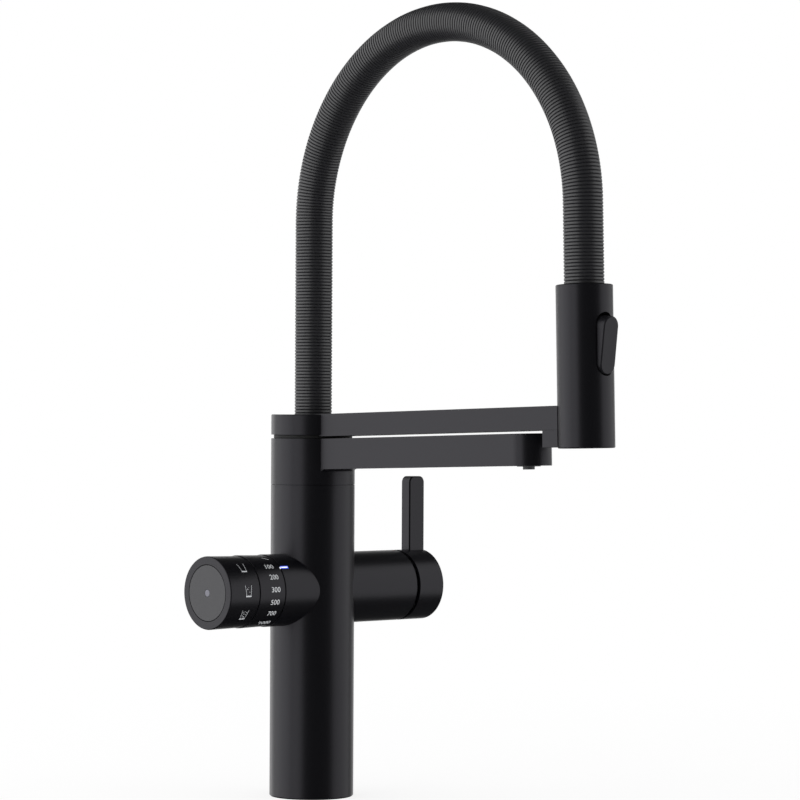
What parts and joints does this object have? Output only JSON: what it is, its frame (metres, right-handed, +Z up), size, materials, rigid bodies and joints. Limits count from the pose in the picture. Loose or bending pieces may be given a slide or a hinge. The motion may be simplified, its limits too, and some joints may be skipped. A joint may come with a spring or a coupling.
{
  "type": "kitchen mixer tap with sparkling water dial",
  "caption": "Black kitchen mixer tap with a ribbed hose arch, a docked pull-out spray head, a swivelling filtered water spout, a side lever and a turning dial for sparkling water.",
  "frame": {"origin": "centre of the column's foot on the worktop, over the tap hole's axis", "axes": "+Z up, +X the way both arms point at rest, -Y the dial's side, +Y the mixer lever's side"},
  "size_m": [0.2892, 0.184, 0.5598],
  "materials": {
    "black_paint": "satin matt black powder coat",
    "button_face": "fine matt dark grey coat",
    "black_plastic": "matt black moulded plastic",
    "hose_rubber": "matt black silicone rubber",
    "inner_hose": "smooth dark hose rubber",
    "seal_rubber": "matt black rubber",
    "brass": "machined brass",
    "steel": "brushed stainless steel",
    "grey_plastic": "matt dark grey moulded plastic",
    "white_plastic": "matt white moulded plastic",
    "light_lens": "clear light guide, white when lit",
    "magnet_nickel": "nickel plated",
    "circuit_board": "green lacquered board"
  },
  "bodies": {
    "stand": {"base_plate": "brass", "base_gasket": "seal_rubber", "shank": "brass", "rubber_washer": "seal_rubber", "steel_washer": "steel", "fixing_nut": "brass", "column": "black_paint", "valve_block": "brass", "supply_tubes": "steel", "mixed_tube": "steel", "filter_tube": "steel", "swivel_post": "brass", "glide_ring": "black_plastic", "hub_spacer": "black_plastic", "post_nut": "brass", "mixer_cartridge": "white_plastic", "cartridge_nut": "brass", "dial_core": "black_plastic", "index_light": "light_lens", "sensor_board": "circuit_board", "push_switch": "white_plastic", "core_clip": "black_plastic", "button_spring": "steel"},
    "spout": {"water_spout": "black_paint", "spout_outlet": "grey_plastic"},
    "holder": {"holder_arm": "black_paint", "dock_block": "black_paint", "dock_magnet": "magnet_nickel", "hose_collar": "black_plastic", "hose_nipple": "brass", "hose_sheath": "hose_rubber", "water_hose": "inner_hose"},
    "spray_head": {"head_shell": "black_paint", "head_core": "black_plastic", "head_nipple": "brass", "spray_plate": "grey_plastic", "aerator": "grey_plastic", "dock_plate": "steel", "switch_pin": "steel"},
    "switch": {"spray_switch": "black_plastic"},
    "mixer_turn": {"cartridge_turret": "white_plastic", "stem_pin": "steel"},
    "mixer_lever": {"lever_stem": "steel", "lever_cap": "black_paint", "lever_bar": "black_paint", "lever_screw": "steel"},
    "volume_dial": {"volume_ring": "black_paint", "volume_magnets": "magnet_nickel"},
    "type_dial": {"type_ring": "black_paint", "type_magnets": "magnet_nickel"},
    "button": {"start_button": "button_face", "light_guide": "light_lens"}
  },
  "joints": [
    {"name": "spout_swivel", "type": "hinge", "parent": "stand", "child": "spout", "pos_m": [0, 0, 0.215], "axis": [0, 0, 1], "range_deg": [-90, 90]},
    {"name": "holder_swivel", "type": "hinge", "parent": "stand", "child": "holder", "pos_m": [0, 0, 0.239], "axis": [0, 0, 1], "range_deg": [-90, 90]},
    {"name": "head_undock", "type": "slide", "parent": "holder", "child": "spray_head", "axis": [0.9996, 0, 0.0269], "range_m": [0, 0.08], "deforming": ["hose_sheath", "water_hose"]},
    {"name": "spray_mode", "type": "hinge", "parent": "spray_head", "child": "switch", "pos_m": [0.25236, 0, 0.2875], "axis": [0, -1, 0], "range_deg": [0, 16]},
    {"name": "lever_turn", "type": "hinge", "parent": "stand", "child": "mixer_turn", "pos_m": [0, 0.058, 0.1332], "axis": [0, 1, 0], "range_deg": [-45, 45]},
    {"name": "lever_tilt", "type": "hinge", "parent": "mixer_turn", "child": "mixer_lever", "pos_m": [0, 0.054, 0.1332], "axis": [-1, 0, 0], "range_deg": [0, 20]},
    {"name": "volume_turn", "type": "hinge", "parent": "stand", "child": "volume_dial", "pos_m": [0, -0.05, 0.1332], "axis": [0, -1, 0], "range_deg": [-20, 100]},
    {"name": "type_turn", "type": "hinge", "parent": "stand", "child": "type_dial", "pos_m": [0, -0.075, 0.1332], "axis": [0, -1, 0], "range_deg": [0, 80]},
    {"name": "button_press", "type": "slide", "parent": "stand", "child": "button", "axis": [0, 1, 0], "range_m": [0, 0.0014], "stiffness_N_per_m": 800, "springref_m": -0.001, "deforming": ["button_spring"]}
  ]
}
